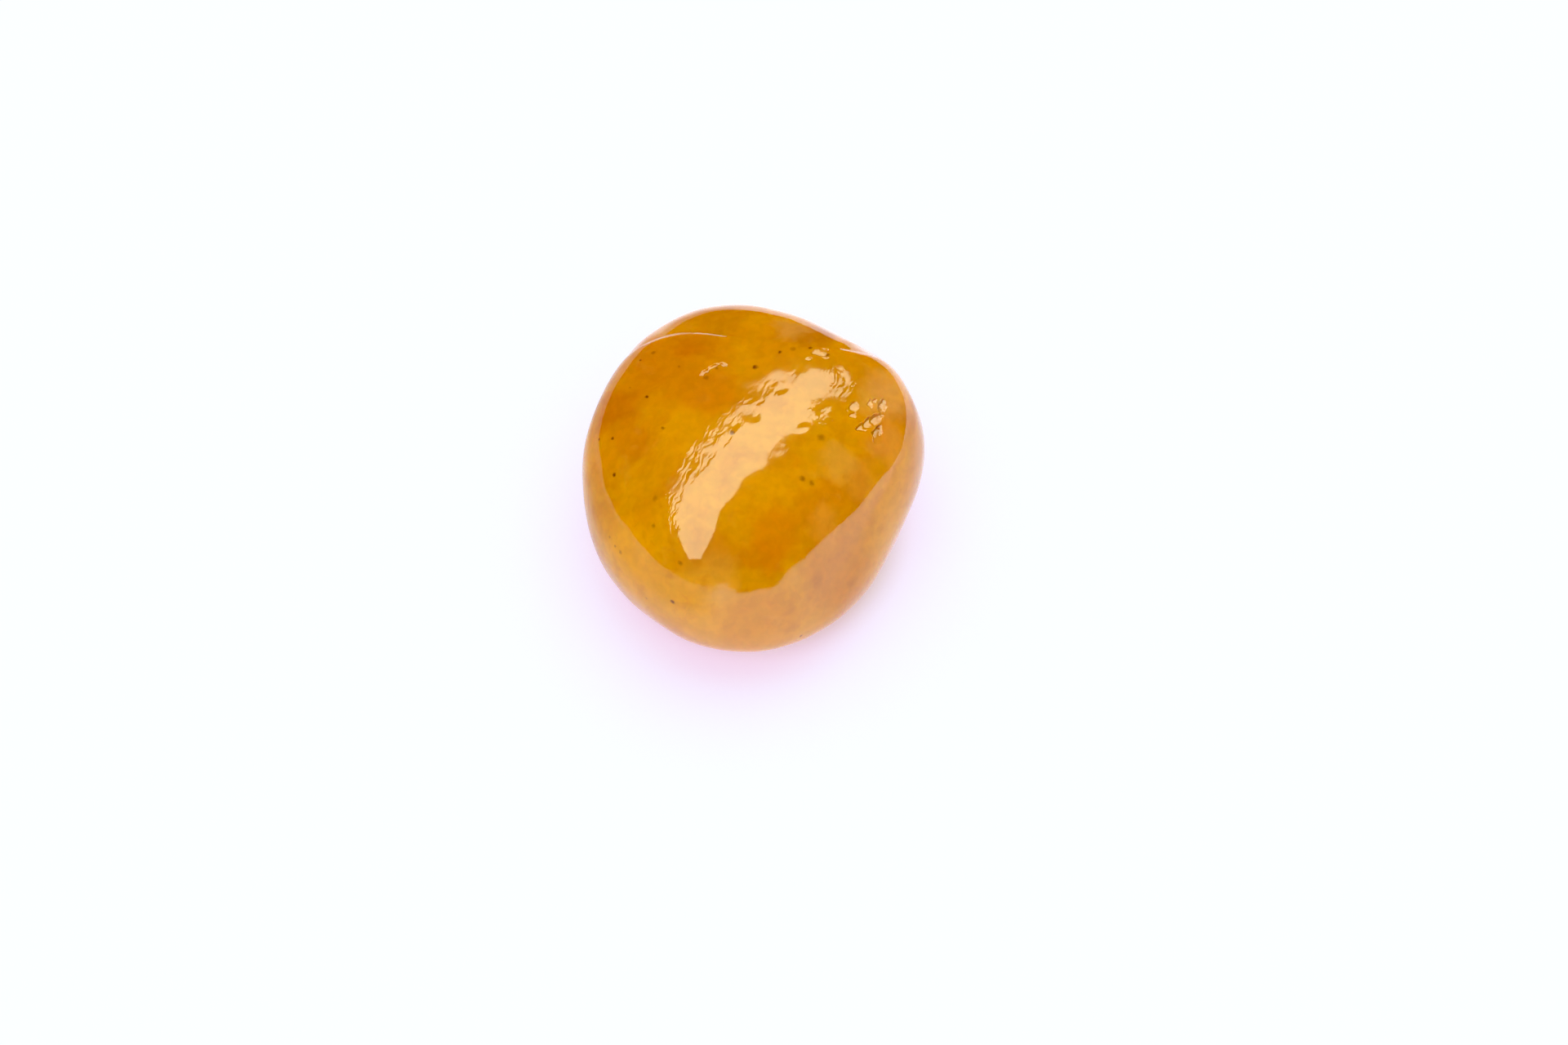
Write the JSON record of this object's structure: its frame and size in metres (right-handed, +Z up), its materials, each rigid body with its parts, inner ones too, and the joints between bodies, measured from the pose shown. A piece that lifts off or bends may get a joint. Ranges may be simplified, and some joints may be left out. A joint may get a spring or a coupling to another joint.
{
  "type": "tumbled carnelian",
  "caption": "Polished carnelian pebble, a rounded and slightly faceted honey-orange stone that lies on a flat worn face.",
  "frame": {"origin": "middle of the bounding box at its underside, on the worn flat that the stone lies on", "axes": "+Z up from that flat, through the stone's thickness; +Y along its length; +X across it"},
  "size_m": [0.0266, 0.0296, 0.0148],
  "materials": {
    "chalcedony": null
  },
  "bodies": {
    "root": {"carnelian": "chalcedony"}
  },
  "joints": []
}
